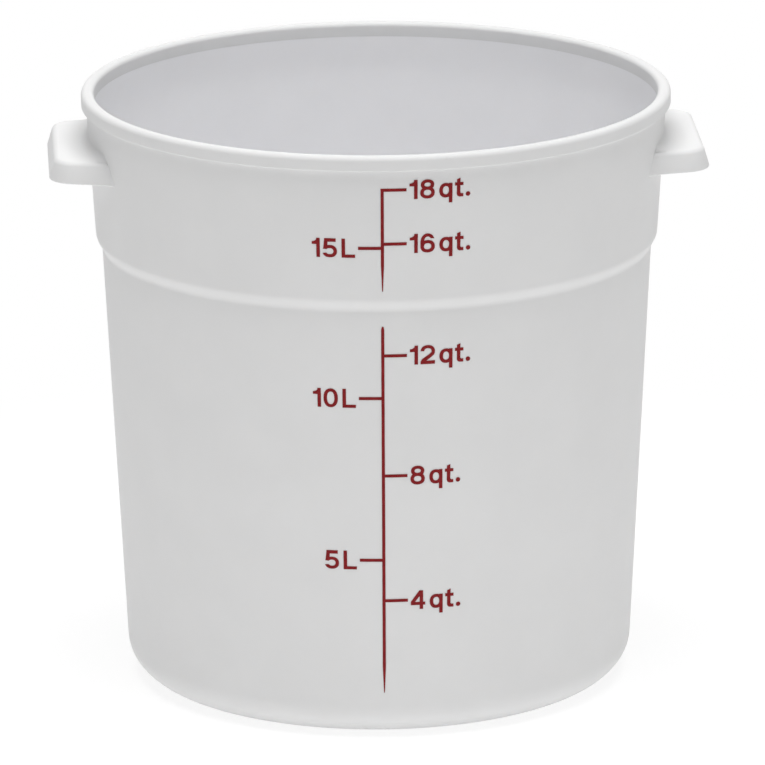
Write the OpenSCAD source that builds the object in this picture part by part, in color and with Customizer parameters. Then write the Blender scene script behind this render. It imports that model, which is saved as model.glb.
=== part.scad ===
/* [Tub] */
// Height from the ground to the top of the rim
tub_h = 312; // [280:1:380]
// Outside diameter that the lower wall has where its line meets the ground
foot_d = 262.4; // [240:0.1:276]
// Outside diameter at the top of the lower wall
lower_d = 285.2; // [276:0.1:288]
// Outside diameter at the bottom of the upper wall
upper_d = 291.8; // [289:0.1:297]
// Outside diameter of the upper wall just under the rim
neck_d = 300; // [297:0.1:306]
// Thickness of the wall
wall_t = 2.6; // [1.8:0.1:4]
// Thickness of the floor over its raised panel
floor_t = 3; // [2:0.1:6]
// Outside radius of the curve from the ground to the wall
foot_r = 20; // [10:0.5:24]

/* [Shoulder] */
// Drop from the top of the rim to the top of the shoulder
shoulder_drop = 74.5; // [65:0.5:84]
// Height of the shoulder's soft step between the lower and the upper wall
shoulder_h = 9; // [5:0.5:12]

/* [Rim] */
// How far the rim stands out past the wall under it
rim_out = 2.5; // [1:0.1:5]
// Height of the rim
rim_h = 7.5; // [5:0.1:12]
// Radius of the rim's two top edges
rim_top_r = 1.6; // [0.5:0.1:2.2]
// Radius of the rim's lower outside edge
rim_low_r = 1.2; // [0.4:0.1:2]

/* [Underside] */
// Diameter of the raised panel inside the ring that the tub stands on
panel_d = 196; // [120:1:205]
// Height of the raised panel over the ground
panel_up = 0.8; // [0.4:0.1:2.5]
// Diameter of the gate mark in the middle of the panel
gate_d = 16; // [8:1:40]
// Depth of the gate mark
gate_deep = 0.6; // [0.2:0.1:1.2]

/* [Handles] */
// Distance from the middle of the tub to the lower edge of a handle's outer face
handle_reach = 170; // [164:0.5:185]
// Length of a handle along its outer edge, before its corners are rounded
handle_len = 88; // [60:1:120]
// Drop from the top of the rim to the top of a handle
handle_drop = 26; // [18:0.5:50]
// Height of a handle
handle_h = 11; // [8:0.5:20]
// Thickness of a handle's top and skirt
handle_t = 2.8; // [2:0.1:4]
// How far the foot of the skirt stands out past its top
skirt_out = 3; // [1:0.1:5]
// Angle between a handle's ends and the square
end_turn = 14; // [5:1:25]
// Radius of a handle's two outer corners, seen from above
corner_r = 12; // [8:0.5:20]
// Radius of the curves that run from a handle's ends into the wall
root_r = 14; // [8:0.5:25]
// Radius of the edge between a handle's top and skirt
edge_r = 3; // [1.5:0.1:4]

/* [Printed scale] */
// Share of the brim volume that the top mark, 18 quarts, stands for
top_mark_share = 0.934; // [0.9:0.001:0.945]
// Turn of the scale round the wall from square with the handles
print_turn = -2; // [-20:0.5:20]
// Thickness of the ink
ink_t = 0.15; // [0.1:0.05:0.4]
// Height of the figures
text_h = 10; // [7:0.5:12]
// Width of the figures' strokes
stroke_w = 1.8; // [1.2:0.1:2.2]
// Width of the upright line
line_w = 1.6; // [0.8:0.1:2.4]
// Length of a tick from the middle of the line
tick_l = 12.2; // [6:0.1:20]
// Width of a tick
tick_w = 1.6; // [0.8:0.1:2.4]
// Space between a tick and its figures
tick_gap = 1.5; // [0.5:0.1:5]
// Space between the upper line's end and the shoulder
upper_gap = 3.6; // [1:0.1:12]
// Space between the lower line's start and the shoulder
lower_gap = 6.7; // [1:0.1:12]
// Height of the lower line's end over the ground
line_end_z = 25.5; // [24.5:0.5:60]
// Length over which a line runs out to a point
taper_l = 14; // [4:0.5:20]

/* [Hidden] */

resin = "#e9eaea";
ink = "#7a1f24";

// A quart in litres, and the volume of the top mark
quart = 0.946353;
top_mark = 18 * quart;

rim_z = tub_h - rim_h;
neck_r = neck_d / 2;
shoulder_top = tub_h - shoulder_drop;
shoulder_z = shoulder_top - shoulder_h;
lower_turn = atan((lower_d - foot_d) / 2 / shoulder_z);
arc_steps = 10;
shoulder_steps = 8;

function arc(cx, cy, r, from, to, n = arc_steps) =
    [for (i = [0:n]) let (a = from + (to - from) * i / n) [cx + r * cos(a), cy + r * sin(a)]];
function mix(a, b, t) = a + (b - a) * t;
function total(list) = list * [for (x = list) 1];

// Outside radius of the wall at a height
function lower_r(z) = mix(foot_d, lower_d, z / shoulder_z) / 2;
function upper_r(z) = mix(upper_d, neck_d, (z - shoulder_top) / (rim_z - shoulder_top)) / 2;
function shoulder_r(t) = mix(lower_d, upper_d, (1 - cos(180 * t)) / 2) / 2;
function wall_r(z) = z < shoulder_z ? lower_r(z)
    : z < shoulder_top ? shoulder_r((z - shoulder_z) / shoulder_h)
    : upper_r(z);

// The wall's outline from the foot of the shoulder to the rim, moved out by a distance
function wall_line(out) = concat(
    [for (i = [0:shoulder_steps]) let (t = i / shoulder_steps)
        [shoulder_r(t) + out, shoulder_z + shoulder_h * t]],
    [[neck_r + out, rim_z]]);

// A curve of radius r between a flat floor at height z and the lower wall's line moved in by t
function foot_arc(z, t, r) = let (
    cz = z + r,
    cx = lower_r(cz) - t - r / cos(lower_turn))
    arc(cx, cz, r, -90, -lower_turn);
function foot_top(z, r) = z + r - r * sin(lower_turn);

inside_z = panel_up + floor_t;
inside_r = foot_r - wall_t;

// Volume inside the tub up to a height, in litres, from thin slices of its inside
function inside_radius(z) = let (
    cz = inside_z + inside_r,
    cx = lower_r(cz) - wall_t - inside_r / cos(lower_turn))
    z < foot_top(inside_z, inside_r) ? cx + sqrt(max(0, inside_r ^ 2 - (cz - z) ^ 2))
    : wall_r(z) - wall_t;
slices = 80;
function volume_to(z) = let (dz = (z - inside_z) / slices)
    total([for (i = [0:slices - 1]) PI * inside_radius(inside_z + (i + 0.5) * dz) ^ 2 * dz]) / 1e6;
function level_between(v, low, high, tries) = tries == 0 ? (low + high) / 2
    : volume_to((low + high) / 2) < v ? level_between(v, (low + high) / 2, high, tries - 1)
    : level_between(v, low, (low + high) / 2, tries - 1);
brim_volume = volume_to(tub_h);
// Height of the mark for a number of litres
function level(litres) =
    level_between(brim_volume * top_mark_share * litres / top_mark, inside_z, tub_h, 24);

module tub() {
    panel_r = panel_d / 2;
    gate_r = gate_d / 2;
    outside = concat(
        [[0, panel_up + gate_deep], [gate_r, panel_up + gate_deep], [gate_r, panel_up],
            [panel_r, panel_up], [panel_r + 2 * panel_up, 0]],
        foot_arc(0, 0, foot_r), wall_line(0));
    inside = concat([[0, inside_z]], foot_arc(inside_z, wall_t, inside_r), wall_line(-wall_t));
    color(resin) rotate_extrude($fn = 180)
        polygon(concat(outside, [for (i = [len(inside) - 1:-1:0]) inside[i]]));
}

module rim() {
    in_r = neck_r - wall_t;
    out_r = neck_r + rim_out;
    color(resin) rotate_extrude($fn = 180) polygon(concat(
        [[in_r, rim_z]],
        arc(out_r - rim_low_r, rim_z + rim_low_r, rim_low_r, -90, 0, 5),
        arc(out_r - rim_top_r, tub_h - rim_top_r, rim_top_r, 0, 90, 6),
        arc(in_r + rim_top_r, tub_h - rim_top_r, rim_top_r, 90, 180, 6)));
}

// A handle's outline seen from above, at the top of its skirt's slope
handle_top = tub_h - handle_drop;
handle_low = handle_top - handle_h;
face_x = handle_reach - skirt_out;
corner_cut = corner_r * tan((90 - end_turn) / 2);
corner_y = handle_len / 2 - corner_cut;
end_way = [-cos(end_turn), sin(end_turn)];
end_out = [sin(end_turn), cos(end_turn)];
// The root curve touches the wall with the skirt's lower edge
root_from = [face_x, handle_len / 2] + root_r * end_out;
root_along = root_from * end_way;
root_far = wall_r(handle_low) + root_r - skirt_out;
root_s = -root_along - sqrt(root_along ^ 2 - root_from * root_from + root_far ^ 2);
root_c = root_from + root_s * end_way;
root_turn = atan2(-root_c[1], -root_c[0]) + 360;

// Section of the skirt: x runs outwards from the outline and y is the height
slope = atan(skirt_out / handle_h);
module skirt_section() {
    cx = edge_r * tan(slope) - edge_r / cos(slope);
    skin = handle_t / cos(slope);
    polygon(concat(
        [[skirt_out, handle_low]],
        arc(cx, handle_top - edge_r, edge_r, slope, 90, 5),
        [[-edge_r - handle_t, handle_top],
            [-edge_r - handle_t, handle_top - handle_t],
            [handle_t * tan(slope) - skin, handle_top - handle_t],
            [skirt_out - skin, handle_low]]));
}

// The skirt's straight stretch from a point, going back along an outward direction's left side
module skirt_run(at, out_turn, length) {
    translate([at[0], at[1], 0]) rotate([0, 0, out_turn])
        rotate([90, 0, 0]) linear_extrude(length) skirt_section();
}

// One end of the skirt: its corner, its straight end and the curve into the wall
module skirt_end() {
    translate([face_x - corner_r, corner_y, 0])
        rotate_extrude(angle = 90 - end_turn, $fn = 72) translate([corner_r, 0]) skirt_section();
    skirt_run(root_c - root_r * end_out, 90 - end_turn, root_s - corner_cut);
    translate([root_c[0], root_c[1], 0]) rotate([0, 0, root_turn])
        rotate_extrude(angle = 270 - end_turn - root_turn, $fn = 72)
        translate([root_r, 0]) mirror([1, 0]) skirt_section();
}

// The flat top inside the skirt's edge, running on into the wall
module handle_plate() {
    in = edge_r + handle_t / 2;
    side = concat(
        arc(face_x - corner_r, corner_y, corner_r - in, 0, 90 - end_turn),
        arc(root_c[0], root_c[1], root_r + in, 270 - end_turn, root_turn));
    translate([0, 0, handle_top - handle_t]) linear_extrude(handle_t) polygon(concat(
        side,
        [for (i = [len(side) - 1:-1:0]) [side[i][0], -side[i][1]]]));
}

module handle() {
    past = 5;
    color(resin) difference() {
        union() {
            handle_plate();
            skirt_run([face_x, corner_y], 0, 2 * corner_y);
            skirt_end();
            mirror([0, 1, 0]) skirt_end();
        }
        rotate_extrude($fn = 180) polygon([
            [0, handle_low - past], [wall_r(handle_low - past), handle_low - past],
            [wall_r(handle_top + past), handle_top + past], [0, handle_top + past]]);
    }
}

module right_handle() handle();

module left_handle() mirror([1, 0, 0]) handle();

// The printed scale lies on the wall as a thin skin of ink
skin_turn = 70;
module ink_skin() {
    low_z = foot_top(0, foot_r);
    line = concat([[lower_r(low_z), low_z]], wall_line(0));
    rotate([0, 0, print_turn - 90 - skin_turn / 2]) rotate_extrude(angle = skin_turn, $fn = 180)
        polygon(concat(line, [for (i = [len(line) - 1:-1:0]) line[i] + [ink_t, 0]]));
}

// Turns a flat drawing to face outwards at a distance along the wall, at a height
module on_wall(along, z) {
    reach = neck_d;
    rotate([0, 0, print_turn + along / wall_r(z) * 180 / PI])
        translate([0, 0, z]) rotate([90, 0, 0]) linear_extrude(reach) children();
}

module bar(x, y, w, h) translate([x, y]) square([w, h]);

// A closed bowl: a ring between an ellipse and a rounded box, thinner on its level parts
bowl_power = 0.9;
level_share = 0.9;
function bowl_points(w, h) = [for (i = [0:23]) let (a = i * 15, c = cos(a), s = sin(a))
    [w / 2 + sign(c) * abs(c) ^ bowl_power * w / 2, h / 2 + sign(s) * abs(s) ^ bowl_power * h / 2]];
module bowl(y, w, h, stem) translate([0, y]) difference() {
    thin = stem * level_share;
    polygon(bowl_points(w, h));
    translate([stem, thin]) polygon(bowl_points(w - 2 * stem, h - 2 * thin));
}

// Figures and letters, ten units high, drawn from their lower left corners
figure_w = 7.4;
function glyph_w(c) = c == "1" ? 4.1 : c == "t" ? 4.4 : c == "." ? 2.4
    : c == "q" ? 6.8 : c == "L" ? 6.8 : figure_w;

module figure_0(stem) bowl(0, figure_w, 10, stem);

module figure_1(stem) {
    w = glyph_w("1");
    bar(w - stem, 0, stem, 10);
    polygon([[0, 6.7], [0, 8.1], [1.2, 8.3], [2.1, 8.9], [2.5, 10], [w, 10], [w - stem / 2, 6.7]]);
}

module figure_2(stem) {
    w = figure_w;
    intersection() {
        bowl(3.4, w, 6.6, stem);
        polygon([[-1, 7], [w / 2, 6.8], [w + 1, 3.4], [w + 1, 11], [-1, 11]]);
    }
    polygon([[0, 0], [w, 0], [w, stem], [2.9, stem], [5.8, 3.9], [6.8, 4.9], [w - stem, 6.3],
        [4.6, 5.3], [0.8, 2.7], [0, 1.3]]);
}

module figure_4(stem) {
    w = figure_w;
    bar(w - stem - 1.1, 0, stem, 10);
    bar(0, 2.2, w, stem * level_share);
    polygon([[0, 2.2], [0, 4], [w - stem - 1.3, 10], [w - stem, 10], [w - stem, 8],
        [w - stem - 1.1, 7], [2, 3.7], [2, 2.2]]);
}

module figure_5(stem) {
    w = figure_w;
    bar(1, 10 - stem, w - 1.6, stem);
    polygon([[1, 10], [1 + stem, 10], [0.7 + stem, 5.6], [2.2, 4.4], [0.4, 4.4]]);
    difference() {
        bowl(0, w, 6.5, stem);
        polygon([[-1, 2.1], [stem + 0.3, 2.4], [stem + 0.3, 4.2], [0.5, 4.4], [-1, 4.4]]);
    }
}

module figure_6(stem) {
    w = figure_w;
    bowl(0, w, 6.5, stem);
    intersection() {
        bowl(0, w, 10, stem);
        polygon([[-1, 3.2], [stem - 0.1, 3.2], [w / 2, 6], [w / 2, 7.8], [w - stem, 7.4],
            [w + 1, 7.2], [w + 1, 11], [-1, 11]]);
    }
}

module figure_8(stem) {
    w = figure_w;
    upper_h = 5.4;
    upper_w = w - 0.6;
    bowl(0, w, 10 - upper_h + stem * level_share, stem);
    translate([(w - upper_w) / 2, 0]) bowl(10 - upper_h, upper_w, upper_h, stem);
}

module letter_q(stem) {
    w = glyph_w("q");
    bowl(0, w, 7.6, stem);
    bar(w - stem, -2.7, stem, 10.2);
}

module letter_t(stem) {
    w = glyph_w("t");
    thin = stem * level_share;
    bar(0, 7.5 - thin, w, thin);
    polygon([[1, 9.1], [1 + stem, 9.8], [1 + stem, thin + 0.5], [1.5 + stem, thin],
        [w, thin], [w, 0], [2.4, 0], [1.4, 0.4], [1, 1.4]]);
}

module letter_l(stem) {
    bar(0, 0, stem, 10);
    bar(0, 0, glyph_w("L"), stem * level_share);
}

module full_stop() polygon(arc(1.2, 1.2, 1.2, 0, 337.5, 15));

module glyph(c, stem) {
    if (c == "0") figure_0(stem);
    if (c == "1") figure_1(stem);
    if (c == "2") figure_2(stem);
    if (c == "4") figure_4(stem);
    if (c == "5") figure_5(stem);
    if (c == "6") figure_6(stem);
    if (c == "8") figure_8(stem);
    if (c == "q") letter_q(stem);
    if (c == "t") letter_t(stem);
    if (c == "L") letter_l(stem);
    if (c == ".") full_stop();
}

// Where a glyph starts in its label, in the same tenths of the text height
glyph_gap = 1.3;
unit_gap = 2.3;
function pen(label, i) = i == 0 ? 0
    : pen(label, i - 1) + glyph_w(label[i - 1])
        + (label[i] == "q" || label[i] == "L" ? unit_gap : glyph_gap);
function label_w(label) = pen(label, len(label) - 1) + glyph_w(label[len(label) - 1]);

// One mark of the scale: a tick on the line and its figures, to the right or the left
module mark(litres, label, way) {
    z = level(litres);
    unit = text_h / 10;
    start = way > 0 ? tick_l + tick_gap : -tick_l - tick_gap - label_w(label) * unit;
    tick_len = tick_l - line_w / 2;
    color(ink) intersection() {
        ink_skin();
        union() {
            on_wall(way * (line_w + tick_len) / 2, z) square([tick_len, tick_w], center = true);
            for (i = [0:len(label) - 1]) {
                half = glyph_w(label[i]) / 2;
                on_wall(start + (pen(label, i) + half) * unit, z)
                    translate([-half * unit, -text_h / 2]) scale(unit) glyph(label[i], stroke_w / unit);
            }
        }
    }
}

// A stretch of the upright line, run out to a point at its lower end or its upper end too
module scale_line(low_z, high_z, top_tip) {
    color(ink) intersection() {
        ink_skin();
        on_wall(0, (low_z + high_z) / 2) translate([0, -(low_z + high_z) / 2]) polygon([
            [-line_w / 8, low_z], [line_w / 8, low_z], [line_w / 2, low_z + taper_l],
            [line_w / 2, high_z - top_tip], [line_w / 2 - top_tip / 4, high_z],
            [top_tip / 4 - line_w / 2, high_z], [-line_w / 2, high_z - top_tip],
            [-line_w / 2, low_z + taper_l]]);
    }
}

module upper_scale_line() scale_line(shoulder_top + upper_gap, level(top_mark) + tick_w / 2, 0);

module lower_scale_line() scale_line(line_end_z, shoulder_z - lower_gap, line_w);

tub();
rim();
left_handle();
right_handle();
upper_scale_line();
lower_scale_line();
mark(18 * quart, "18qt.", 1);  // mark_18_qt
mark(16 * quart, "16qt.", 1);  // mark_16_qt
mark(15, "15L", -1);  // mark_15_l
mark(12 * quart, "12qt.", 1);  // mark_12_qt
mark(10, "10L", -1);  // mark_10_l
mark(8 * quart, "8qt.", 1);  // mark_8_qt
mark(5, "5L", -1);  // mark_5_l
mark(4 * quart, "4qt.", 1);  // mark_4_qt
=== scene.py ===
import math

import bpy
from mathutils import Matrix, Vector


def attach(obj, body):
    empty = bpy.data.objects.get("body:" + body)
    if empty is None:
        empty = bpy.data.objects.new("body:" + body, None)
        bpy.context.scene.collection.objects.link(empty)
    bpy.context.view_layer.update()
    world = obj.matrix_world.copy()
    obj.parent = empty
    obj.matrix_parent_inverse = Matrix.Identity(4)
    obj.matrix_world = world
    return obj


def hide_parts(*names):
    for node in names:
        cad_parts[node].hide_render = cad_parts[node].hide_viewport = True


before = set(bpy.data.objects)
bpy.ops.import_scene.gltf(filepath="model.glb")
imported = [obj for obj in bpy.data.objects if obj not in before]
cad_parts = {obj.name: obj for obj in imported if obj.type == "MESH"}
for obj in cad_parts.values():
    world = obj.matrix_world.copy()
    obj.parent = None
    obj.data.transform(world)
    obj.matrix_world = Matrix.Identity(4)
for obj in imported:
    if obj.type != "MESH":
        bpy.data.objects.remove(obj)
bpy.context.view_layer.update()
mm = 0.001


# small helpers

def deselectAll():
    if bpy.context.object and bpy.context.mode != "OBJECT":
        bpy.ops.object.mode_set(mode="OBJECT")
    bpy.ops.object.select_all(action="DESELECT")


def hexColour(code):
    # sRGB hex to the linear values that the shader sockets want
    parts = [int(code[i:i + 2], 16) / 255 for i in (1, 3, 5)]
    linear = [p / 12.92 if p <= 0.04045 else ((p + 0.055) / 1.055) ** 2.4 for p in parts]
    return (*linear, 1.0)


def addNode(tree, kind, settings=None, inputs=None, links=None):
    # one node with its settings, its socket values and what feeds it
    node = tree.nodes.new(kind)
    for key, value in (settings or {}).items():
        setattr(node, key, value)
    for key, value in (inputs or {}).items():
        node.inputs[key].default_value = value
    for key, source in (links or {}).items():
        tree.links.new(source, node.inputs[key])
    return node


def newMaterial(name):
    material = bpy.data.materials.new(name)
    material.use_nodes = True
    material.node_tree.nodes.clear()
    return material, material.node_tree


def setRamp(node, stops):
    ramp = node.color_ramp
    while len(ramp.elements) < len(stops):
        ramp.elements.new(0.5)
    for element, (place, colour) in zip(ramp.elements, stops):
        element.position = place
        element.color = colour


def arc(cx, cz, r, start, end, steps):
    # points on a round stretch of a section, in degrees
    angles = [math.radians(start + (end - start) * i / steps) for i in range(steps + 1)]
    return [(cx + r * math.cos(a), cz + r * math.sin(a)) for a in angles]


def finishPiece(piece, name, smoothAngle=38):
    deselectAll()
    piece.name = name
    piece.data.name = name
    piece.select_set(True)
    bpy.context.view_layer.objects.active = piece
    bpy.ops.object.transform_apply(location=True, rotation=True, scale=True)
    bpy.ops.object.shade_smooth_by_angle(angle=math.radians(smoothAngle))
    piece.select_set(False)
    print("piece", name, len(piece.data.polygons), "faces")
    return piece


# the tub's own sizes, in millimetres

tubSizes = {
    "height": 312, "rimHeight": 7.5,
    "footWide": 262.4, "lowerWide": 285.2, "upperWide": 291.8, "neckWide": 300,
    "wall": 2.6, "floor": 3, "footRound": 20,
    "shoulderDrop": 74.5, "shoulderTall": 9,
    "panelWide": 196, "panelUp": 0.8, "rampWide": 1.6,     # the panel raised under the floor, and its edge
    "gateWide": 16, "gateDeep": 0.6, "gateSlope": 0.8,     # the round recess left by the mould's gate
    "neckThicker": 1.6, "neckThickFrom": 284,              # the wall thickens inside, up to the rim
    "footGap": 8, "shoulderGap": 2,                        # where the straight stretches start and stop
    "segments": 192, "roundSteps": 18, "rampSteps": 6, "shoulderSteps": 16, "wallSteps": 10,
}
rimZ = tubSizes["height"] - tubSizes["rimHeight"]
shoulderTop = tubSizes["height"] - tubSizes["shoulderDrop"]
shoulderLow = shoulderTop - tubSizes["shoulderTall"]
neckR = tubSizes["neckWide"] / 2
lowerLean = math.degrees(math.atan((tubSizes["lowerWide"] - tubSizes["footWide"]) / 2 / shoulderLow))


def wallR(z):
    # outside radius of the wall at a height
    if z < shoulderLow:
        low, high, share = "footWide", "lowerWide", z / shoulderLow
    elif z < shoulderTop:
        low, high = "lowerWide", "upperWide"
        share = (1 - math.cos(math.pi * (z - shoulderLow) / tubSizes["shoulderTall"])) / 2
    else:
        low, high, share = "upperWide", "neckWide", (z - shoulderTop) / (rimZ - shoulderTop)
    return (tubSizes[low] + (tubSizes[high] - tubSizes[low]) * share) / 2


def neckThickening(z):
    share = (z - tubSizes["neckThickFrom"]) / (rimZ - tubSizes["neckThickFrom"])
    share = max(0.0, min(1.0, share))
    return tubSizes["neckThicker"] * share * share * (3 - 2 * share)


def footArc(z, inset, r, steps):
    # the curve between the ground or the floor and the lower wall
    cz = z + r
    cx = wallR(cz) - inset - r / math.cos(math.radians(lowerLean))
    return arc(cx, cz, r, -90, -lowerLean, steps)


def wallLine(inset):
    # heights up the wall, close together over the soft shoulder
    sizes = tubSizes
    steps = sizes["wallSteps"]
    low = footArc(0, 0, sizes["footRound"], 1)[-1][1] + sizes["footGap"]
    high = shoulderLow - sizes["shoulderGap"]
    heights = [low + (high - low) * i / steps for i in range(steps + 1)]
    heights += [shoulderLow + sizes["shoulderTall"] * i / sizes["shoulderSteps"]
                for i in range(sizes["shoulderSteps"] + 1)]
    low = shoulderTop + sizes["shoulderGap"]
    heights += [low + (rimZ - low) * i / steps for i in range(steps + 1)]
    return [(wallR(z) - inset - (neckThickening(z) if inset else 0), z) for z in heights]


def revolve(section, segments, closed=False):
    # a ring that is pulled up and resized along the section, as by hand
    deselectAll()
    firstR, firstZ = section[0]
    bpy.ops.mesh.primitive_circle_add(
        vertices=segments, radius=firstR * mm, location=(0, 0, firstZ * mm))
    piece = bpy.context.object
    bpy.ops.object.transform_apply(location=True)
    bpy.ops.object.mode_set(mode="EDIT")
    bpy.ops.mesh.select_all(action="SELECT")
    for (wasR, wasZ), (nowR, nowZ) in zip(section, section[1:]):
        bpy.ops.mesh.extrude_edges_move(TRANSFORM_OT_translate={"value": (0, 0, (nowZ - wasZ) * mm)})
        grow = nowR / wasR
        if abs(grow - 1) > 1e-9:
            bpy.ops.transform.resize(value=(grow, grow, 1), center_override=(0, 0, nowZ * mm))
    if closed:
        bpy.ops.mesh.select_all(action="SELECT")
        bpy.ops.mesh.remove_doubles(threshold=0.01 * mm)
    else:
        bpy.ops.mesh.merge(type="CENTER")      # the last ring closes at the middle of the floor
        bpy.ops.mesh.select_all(action="DESELECT")
        bpy.ops.object.mode_set(mode="OBJECT")
        for vertex in piece.data.vertices:     # and the first ring at the middle of the underside
            reach = math.hypot(vertex.co.x, vertex.co.y)
            vertex.select = abs(vertex.co.z - firstZ * mm) < 1e-7 and reach < firstR * 1.001 * mm
        bpy.ops.object.mode_set(mode="EDIT")
        bpy.ops.mesh.merge(type="CENTER")
        bpy.ops.mesh.select_all(action="SELECT")
    bpy.ops.mesh.normals_make_consistent(inside=False)
    bpy.ops.object.mode_set(mode="OBJECT")
    return piece


def makeTub():
    sizes = tubSizes
    gateR, panelR, panelUp = sizes["gateWide"] / 2, sizes["panelWide"] / 2, sizes["panelUp"]
    gateZ, insideZ = panelUp + sizes["gateDeep"], panelUp + sizes["floor"]
    insideRound = sizes["footRound"] - sizes["wall"]
    middle = 0.4                               # the first and last rings, closed to a point
    outside = [(middle, gateZ), (gateR - sizes["gateSlope"], gateZ)]
    outside += [(r, panelUp) for r in (gateR, gateR + 0.3, gateR + 1, panelR * 0.5, panelR - 1)]
    for i in range(sizes["rampSteps"] + 1):
        share = i / sizes["rampSteps"]
        outside.append((panelR + sizes["rampWide"] * share, panelUp * (1 + math.cos(math.pi * share)) / 2))
    outside += footArc(0, 0, sizes["footRound"], sizes["roundSteps"]) + wallLine(0)
    inside = [(middle, insideZ), (40, insideZ), (80, insideZ)]
    inside += footArc(insideZ, sizes["wall"], insideRound, sizes["roundSteps"]) + wallLine(sizes["wall"])
    return finishPiece(revolve(outside + inside[::-1], sizes["segments"]), "tubWall")


# the rim: a solid band that stands out past the wall, rounded along its edges

rimSizes = {"out": 2.5, "topRound": 2.6, "innerRound": 2.4, "lowRound": 0.5, "steps": 8}


def makeRim():
    sizes = rimSizes
    low, top, inner, steps = (sizes[key] for key in ("lowRound", "topRound", "innerRound", "steps"))
    inR = neckR - tubSizes["wall"] - tubSizes["neckThicker"]
    outR, topZ = neckR + sizes["out"], tubSizes["height"]
    section = [(inR, rimZ), (neckR, rimZ)]
    section += arc(outR - low, rimZ + low, low, -90, 0, steps)
    section += arc(outR - top, topZ - top, top, 0, 90, steps)
    section += arc(inR + inner, topZ - inner, inner, 90, 180, steps)
    section += [(inR, rimZ)]
    return finishPiece(revolve(section, tubSizes["segments"], closed=True), "rimBand")


# the handles: a flat top and a sloping skirt, run into the wall at both ends

handleSizes = {
    "reach": 170, "length": 88, "drop": 26, "tall": 11, "thick": 2.8, "skirtOut": 3,
    "endTurn": 14, "cornerRound": 12, "rootRound": 14, "edgeRound": 3,
    "blend": 4.5, "footRound": 0.7, "underRound": 1.2, "sunk": 1.2,
    "blendShare": 0.75,                        # of the room that is left beside the wall
    "faceSteps": 18, "cornerSteps": 12, "endSteps": 3, "rootSteps": 18,
    "edgeSteps": 8, "footSteps": 4,
}


def handleOutline():
    # plan of the skirt's top edge from the middle of the face to one root, with its outward normals
    sizes = handleSizes
    faceX = sizes["reach"] - sizes["skirtOut"]
    corner, root = sizes["cornerRound"], sizes["rootRound"]
    endTurn = math.radians(sizes["endTurn"])
    cornerY = sizes["length"] / 2 - corner * math.tan(math.radians(90 - sizes["endTurn"]) / 2)
    endOut = Vector((math.sin(endTurn), math.cos(endTurn)))
    endWay = Vector((-math.cos(endTurn), math.sin(endTurn)))
    lowZ = tubSizes["height"] - sizes["drop"] - sizes["tall"]
    rootFrom = Vector((faceX, sizes["length"] / 2)) + root * endOut
    along = rootFrom.dot(endWay)
    far = wallR(lowZ) + root - sizes["skirtOut"]
    run = -along - math.sqrt(along ** 2 - rootFrom.length_squared + far ** 2)
    rootC = rootFrom + run * endWay            # middle of the round that leads into the wall
    points = []
    for i in range(sizes["faceSteps"]):
        points.append((Vector((faceX, cornerY * i / sizes["faceSteps"])), Vector((1, 0))))
    for i in range(sizes["cornerSteps"] + 1):
        a = math.radians((90 - sizes["endTurn"]) * i / sizes["cornerSteps"])
        out = Vector((math.cos(a), math.sin(a)))
        points.append((Vector((faceX - corner, cornerY)) + corner * out, out))
    start, end = points[-1][0], rootC - root * endOut
    for i in range(1, sizes["endSteps"]):
        points.append((start.lerp(end, i / sizes["endSteps"]), endOut.copy()))
    rootTurn = math.degrees(math.atan2(-rootC.y, -rootC.x)) % 360
    for i in range(sizes["rootSteps"] + 1):
        turned = (rootTurn - 270 + sizes["endTurn"]) * i / sizes["rootSteps"]
        a = math.radians(270 - sizes["endTurn"] + turned)
        way = Vector((math.cos(a), math.sin(a)))
        points.append((rootC + root * way, -way))
    return points


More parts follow.
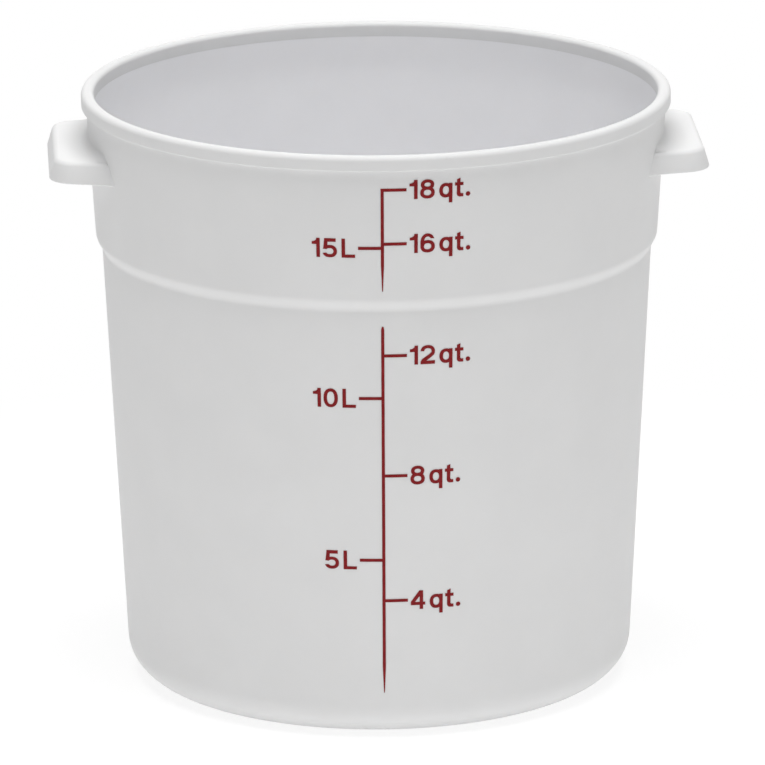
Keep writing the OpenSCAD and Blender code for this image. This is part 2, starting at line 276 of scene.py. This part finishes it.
def handleSection(point, out):
    # one ring of points round the handle's wall, where the outline has this point and normal
    sizes = handleSizes
    edge, foot, under, sunk = (sizes[key] for key in ("edgeRound", "footRound", "underRound", "sunk"))
    topZ = tubSizes["height"] - sizes["drop"]
    lowZ, underZ = topZ - sizes["tall"], topZ - sizes["thick"]
    slope = math.atan(sizes["skirtOut"] / sizes["tall"])
    slopeTurn = math.degrees(slope)
    skin = sizes["thick"] / math.cos(slope)
    footIn = foot * 1.1                        # keeps the foot's curve on the sloping skirt
    radial = point.normalized()
    ring = []

    def againstWall(z, room, round_, least):
        # radius of the blend and the reach where it meets the wall, both less where the skirt runs out
        blend = max(least, min(round_, room * sizes["blendShare"]))
        return blend, wallR(z) - sunk * (1 - min(1.0, room / sunk))

    def addRadial(reach, z):
        ring.append(Vector((radial.x * reach, radial.y * reach, z)))

    def addOffsets(places):
        for offset, z in places:
            place = point + out * offset
            ring.append(Vector((place.x, place.y, z)))

    room = max(0.0, (point - edge * out).length - wallR(topZ))
    blend, contact = againstWall(topZ, room, sizes["blend"], 0.05)
    addRadial(wallR(topZ) - sunk, topZ + blend)
    for reach, z in arc(contact + blend, topZ + blend, blend, 180, 270, sizes["edgeSteps"]):
        addRadial(reach, z)
    edgeX = edge * math.tan(slope) - edge / math.cos(slope)
    addOffsets(arc(edgeX, topZ - edge, edge, 90, slopeTurn, sizes["edgeSteps"]))
    addOffsets(arc(sizes["skirtOut"] - footIn, lowZ + foot, foot, slopeTurn, -90, sizes["footSteps"]))
    addOffsets(arc(sizes["skirtOut"] - skin + footIn, lowZ + foot, foot, -90, -180 + slopeTurn,
                   sizes["footSteps"]))
    innerTop = sizes["thick"] * math.tan(slope) - skin
    addOffsets(arc(innerTop - under, underZ - under, under, 0, 90, sizes["footSteps"]))
    room = max(0.0, (point + (innerTop - under) * out).length - wallR(underZ))
    blend, contact = againstWall(underZ, room, under, 0.02)
    for reach, z in arc(contact + blend, underZ - blend, blend, 90, 180, sizes["footSteps"]):
        addRadial(reach, z)
    addRadial(wallR(underZ) - sunk, underZ - blend)
    for place in ring:
        reach = math.hypot(place.x, place.y)
        least = wallR(place.z) - sunk
        if reach < least:                      # nothing sinks past the middle of the wall
            place.x *= least / reach
            place.y *= least / reach
    return ring


def makeHandle(name, side):
    # a grid laid flat, then bent to the outline: one row of faces for each step along it
    half = handleOutline()
    outline = [(Vector((p.x, -p.y)), Vector((n.x, -n.y))) for p, n in half[:0:-1]] + half
    rings = [handleSection(p, n) for p, n in outline]
    deselectAll()
    across = len(rings[0])
    bpy.ops.mesh.primitive_grid_add(x_subdivisions=across, y_subdivisions=len(rings) - 1, size=0.1)
    handle = bpy.context.object
    for vertex in handle.data.vertices:
        row, step = divmod(vertex.index, across + 1)
        place = rings[row][step % across]
        vertex.co = (side * place.x * mm, place.y * mm, place.z * mm)
    bpy.ops.object.mode_set(mode="EDIT")
    bpy.ops.mesh.select_all(action="SELECT")
    bpy.ops.mesh.remove_doubles(threshold=0.004 * mm)
    bpy.ops.mesh.select_all(action="DESELECT")
    bpy.ops.mesh.select_non_manifold(extend=False)
    bpy.ops.mesh.edge_face_add()               # closes both ends, inside the wall
    bpy.ops.mesh.select_all(action="SELECT")
    bpy.ops.mesh.normals_make_consistent(inside=False)
    bpy.ops.object.mode_set(mode="OBJECT")
    return finishPiece(handle, name)


# materials

resinLook = {
    # the inside colours are this same resin painted lighter: painted light that stands in for the light
    # inside the tub
    "colour": "#e3e3e3", "deep": "#e1e1e1", "insidePaintedLightColour": "#f7f7f9", "insidePaintedLightDeep": "#f5f5f7",
    "roughness": 0.5, "specular": 0.15, "cloudSize": 38, "grainSize": 0.9, "grainDepth": 0.012,
    "subsurface": 0.18, "subsurfaceReach": 2.2,
}


def naturalPolyethylene(name, colour, deep):
    # natural polyethylene, moulded in a finely blasted tool: a cloudy white that lets a little light
    # in, a broad soft sheen, faint flow clouds and a fine grain; the real grain is about 0.1 mm and is
    # drawn at 0.9 mm so that it shows
    look = resinLook
    material, tree = newMaterial(name)
    coord = addNode(tree, "ShaderNodeTexCoord")
    clouds = addNode(tree, "ShaderNodeTexNoise", inputs={
        "Scale": 1 / (look["cloudSize"] * mm), "Detail": 3.0, "Roughness": 0.55},
        links={"Vector": coord.outputs["Object"]})
    tint = addNode(tree, "ShaderNodeValToRGB", links={"Fac": clouds.outputs["Fac"]})
    setRamp(tint, [(0.35, hexColour(deep)), (0.65, hexColour(colour))])
    sheen = addNode(tree, "ShaderNodeMapRange", inputs={
        "From Min": 0.3, "From Max": 0.7, "To Min": look["roughness"] - 0.03,
        "To Max": look["roughness"] + 0.05}, links={"Value": clouds.outputs["Fac"]})
    grain = addNode(tree, "ShaderNodeTexNoise", inputs={
        "Scale": 1 / (look["grainSize"] * mm), "Detail": 2.0, "Roughness": 0.5},
        links={"Vector": coord.outputs["Object"]})
    bump = addNode(tree, "ShaderNodeBump", inputs={
        "Strength": 0.35, "Distance": look["grainDepth"] * mm}, links={"Height": grain.outputs["Fac"]})
    shader = addNode(tree, "ShaderNodeBsdfPrincipled", inputs={
        "IOR": 1.5, "Specular IOR Level": look["specular"], "Subsurface Weight": look["subsurface"],
        "Subsurface Scale": look["subsurfaceReach"] * mm, "Subsurface Radius": (1.0, 0.95, 0.9)},
        links={"Base Color": tint.outputs["Color"], "Roughness": sheen.outputs["Result"],
               "Normal": bump.outputs["Normal"]})
    addNode(tree, "ShaderNodeOutputMaterial", links={"Surface": shader.outputs["BSDF"]})
    return material


inkLook = {
    "colour": "#7b1216", "thin": "#8c2124", "roughness": 0.5, "specular": 0.15,
    "patchSize": 2.4, "meshSize": 0.5, "meshDepth": 0.01,
}


def screenPrintedInk():
    # maroon screen ink on plastic: nearly opaque, a little thinner in patches, with the screen's mesh
    # in it; the real mesh is about 0.1 mm and is drawn at 0.5 mm so that it shows
    look = inkLook
    material, tree = newMaterial("screenPrintedInk")
    coord = addNode(tree, "ShaderNodeTexCoord")
    patches = addNode(tree, "ShaderNodeTexNoise", inputs={
        "Scale": 1 / (look["patchSize"] * mm), "Detail": 4.0, "Roughness": 0.6},
        links={"Vector": coord.outputs["Object"]})
    tint = addNode(tree, "ShaderNodeValToRGB", links={"Fac": patches.outputs["Fac"]})
    setRamp(tint, [(0.38, hexColour(look["colour"])), (0.7, hexColour(look["thin"]))])
    mesh = addNode(tree, "ShaderNodeTexNoise", inputs={
        "Scale": 1 / (look["meshSize"] * mm), "Detail": 1.0}, links={"Vector": coord.outputs["Object"]})
    bump = addNode(tree, "ShaderNodeBump", inputs={
        "Strength": 0.4, "Distance": look["meshDepth"] * mm}, links={"Height": mesh.outputs["Fac"]})
    shader = addNode(tree, "ShaderNodeBsdfPrincipled", inputs={
        "Roughness": look["roughness"], "IOR": 1.48, "Specular IOR Level": look["specular"]},
        links={"Base Color": tint.outputs["Color"], "Normal": bump.outputs["Normal"]})
    addNode(tree, "ShaderNodeOutputMaterial", links={"Surface": shader.outputs["BSDF"]})
    return material


outsideResin = naturalPolyethylene(
    "naturalPolyethyleneOutside", resinLook["colour"], resinLook["deep"])
# the inside copy is painted lighter than the outside: painted light for the light inside the tub
insidePaintedLightResin = naturalPolyethylene(
    "naturalPolyethyleneInsidePaintedLight", resinLook["insidePaintedLightColour"], resinLook["insidePaintedLightDeep"])
ink = screenPrintedInk()
print("materials made")

tub = makeTub()
rim = makeRim()
leftHandle = makeHandle("leftHandleGrip", -1)
rightHandle = makeHandle("rightHandleGrip", 1)


def dressTub():
    # the faces that look at the axis or up from the floor are the inside, and take the lighter copy of the
    # resin: painted light that stands in for the light inside the tub
    tub.data.materials.append(outsideResin)
    tub.data.materials.append(insidePaintedLightResin)
    floorZ = (tubSizes["panelUp"] + tubSizes["floor"] - 0.1) * mm
    for face in tub.data.polygons:
        centre, normal = face.center, face.normal
        inward = centre.x * normal.x + centre.y * normal.y < -0.6 * math.hypot(centre.x, centre.y)
        upward = normal.z > 0.5 and centre.z < shoulderLow * mm
        face.material_index = 1 if (inward or upward) and centre.z > floorZ else 0


dressTub()
for piece in (rim, leftHandle, rightHandle):
    piece.data.materials.append(outsideResin)
for piece, node in ((tub, "tub"), (rim, "rim"), (leftHandle, "left_handle"), (rightHandle, "right_handle")):
    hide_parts(node)
    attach(piece, "root")
for name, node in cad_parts.items():
    if name.startswith("mark_") or name.endswith("_scale_line"):
        node.data.materials.clear()
        node.data.materials.append(ink)
print("pieces placed and dressed")


# studio, in metres and watts

studio = {
    "floorWide": 14, "floorColour": "#f8f8f8", "floorPale": "#fbfbfb", "mottleSize": 1000 / 3,
    "shadowShare": 0.3, "shadowReach": 0.55, "floorGlow": 0.31, "worldLevel": 0.245,
    "topWatts": 41, "topWide": 1.6, "topUp": 2.2, "topAcross": -0.2, "topAim": 0.15,
    "sideWatts": 2.3, "sideWide": 1.0, "sideUp": 0.3, "sideOut": 1.3, "sideAcross": -1.5,
    "sideAim": 0.05, "leftShare": 0.8,
}


def seenDirectly(tree):
    # 1 for what the camera sees straight, in a sheen or through something clear
    path = addNode(tree, "ShaderNodeLightPath")
    either = addNode(tree, "ShaderNodeMath", settings={"operation": "MAXIMUM"},
                     links={0: path.outputs["Is Camera Ray"], 1: path.outputs["Is Transmission Ray"]})
    withSheen = addNode(tree, "ShaderNodeMath", settings={"operation": "MAXIMUM"},
                        links={0: either.outputs["Value"], 1: path.outputs["Is Glossy Ray"]})
    return withSheen.outputs["Value"]


def makeFloor():
    # smooth matt paint on a lit sweep: even and pale, with the object's shadow left in it close by
    deselectAll()
    bpy.ops.mesh.primitive_plane_add(size=studio["floorWide"], location=(0, 0, 0))
    floor = bpy.context.object
    floor.name = "studioFloor"
    material, tree = newMaterial("paintedStudioFloor")
    coord = addNode(tree, "ShaderNodeTexCoord")
    mottle = addNode(tree, "ShaderNodeTexNoise", inputs={"Scale": 1 / (studio["mottleSize"] * mm)},
                     links={"Vector": coord.outputs["Object"]})
    tint = addNode(tree, "ShaderNodeValToRGB", links={"Fac": mottle.outputs["Fac"]})
    setRamp(tint, [(0.3, hexColour(studio["floorColour"])), (0.7, hexColour(studio["floorPale"]))])
    matt = addNode(tree, "ShaderNodeBsdfDiffuse", links={"Color": tint.outputs["Color"]})
    glow = addNode(tree, "ShaderNodeEmission", inputs={"Strength": studio["floorGlow"]})
    ground = addNode(tree, "ShaderNodeAddShader",
                     links={0: matt.outputs["BSDF"], 1: glow.outputs["Emission"]})
    white = addNode(tree, "ShaderNodeEmission", inputs={"Strength": 1.0})
    away = addNode(tree, "ShaderNodeVectorMath", settings={"operation": "LENGTH"},
                   links={0: coord.outputs["Object"]})
    share = addNode(tree, "ShaderNodeMapRange", inputs={
        "From Min": studio["shadowReach"] * 0.5, "From Max": studio["shadowReach"],
        "To Min": 1 - studio["shadowShare"], "To Max": 1.0}, links={"Value": away.outputs["Value"]})
    seen = addNode(tree, "ShaderNodeMath", settings={"operation": "MULTIPLY"},
                   links={0: seenDirectly(tree), 1: share.outputs["Result"]})
    mixed = addNode(tree, "ShaderNodeMixShader", links={
        "Fac": seen.outputs["Value"], 1: ground.outputs["Shader"], 2: white.outputs["Emission"]})
    addNode(tree, "ShaderNodeOutputMaterial", links={"Surface": mixed.outputs["Shader"]})
    floor.data.materials.append(material)


def makeWorld():
    world = bpy.data.worlds.new("studioWorld")
    world.use_nodes = True
    bpy.context.scene.world = world
    tree = world.node_tree
    tree.nodes.clear()
    white = (1, 1, 1, 1)
    light = addNode(tree, "ShaderNodeBackground", inputs={
        "Color": white, "Strength": studio["worldLevel"]})
    seen = addNode(tree, "ShaderNodeBackground", inputs={"Color": white, "Strength": 1.0})
    mixed = addNode(tree, "ShaderNodeMixShader", links={
        "Fac": seenDirectly(tree), 1: light.outputs["Background"], 2: seen.outputs["Background"]})
    addNode(tree, "ShaderNodeOutputWorld", links={"Surface": mixed.outputs["Shader"]})


def addSoftbox(name, place, aimUp, wide, watts):
    deselectAll()
    bpy.ops.object.light_add(type="AREA", location=place)
    lamp = bpy.context.object
    lamp.name = name
    lamp.data.shape = "SQUARE"
    lamp.data.size = wide
    lamp.data.energy = watts
    lamp.rotation_euler = (Vector((0, 0, aimUp)) - Vector(place)).to_track_quat("-Z", "Y").to_euler()


makeFloor()
makeWorld()
addSoftbox("topSoftbox", (0, studio["topAcross"], studio["topUp"]), studio["topAim"],
           studio["topWide"], studio["topWatts"])
for name, side, share in (("rightSoftbox", 1, 1), ("leftSoftbox", -1, studio["leftShare"])):
    addSoftbox(name, (side * studio["sideOut"], studio["sideAcross"], studio["sideUp"]),
               studio["sideAim"], studio["sideWide"], studio["sideWatts"] * share)
print("studio lit")


# camera at the photograph's place: far off and a little above, looking down

cameraView = {
    "far": 3851, "up": 1235, "pitch": -15.7, "yaw": 0.038, "roll": 0.35,
    "objectTurn": 3.09, "focal": 7650, "picture": 765, "lift": -0.36, "sensor": 36,
}


def makeCamera():
    view = cameraView
    turn = math.radians(-view["objectTurn"])
    place = Vector((0, -view["far"], view["up"])) * mm
    place.rotate(Matrix.Rotation(turn, 3, "Z"))
    pitch, heading, roll = (math.radians(view[key]) for key in ("pitch", "yaw", "roll"))
    level = math.cos(pitch)
    forward = Vector((math.sin(heading) * level, math.cos(heading) * level, math.sin(pitch)))
    forward.rotate(Matrix.Rotation(turn, 3, "Z"))
    right = forward.cross(Vector((0, 0, 1))).normalized()
    upward = right.cross(forward)
    rolledRight = right * math.cos(roll) - upward * math.sin(roll)
    rolledUp = right * math.sin(roll) + upward * math.cos(roll)
    camera = bpy.data.cameras.new("photoCamera")
    camera.sensor_width = view["sensor"]
    camera.lens = view["focal"] / view["picture"] * camera.sensor_width
    camera.clip_end = 100
    camera.shift_y = -view["lift"] / view["picture"]
    holder = bpy.data.objects.new("photoCamera", camera)
    bpy.context.scene.collection.objects.link(holder)
    axes = Matrix((rolledRight, rolledUp, -forward)).transposed().to_4x4()
    holder.matrix_world = Matrix.Translation(place) @ axes
    bpy.context.scene.camera = holder


makeCamera()
bpy.context.scene.view_settings.view_transform = "Standard"
print("camera set")

bpy.context.view_layer.update()
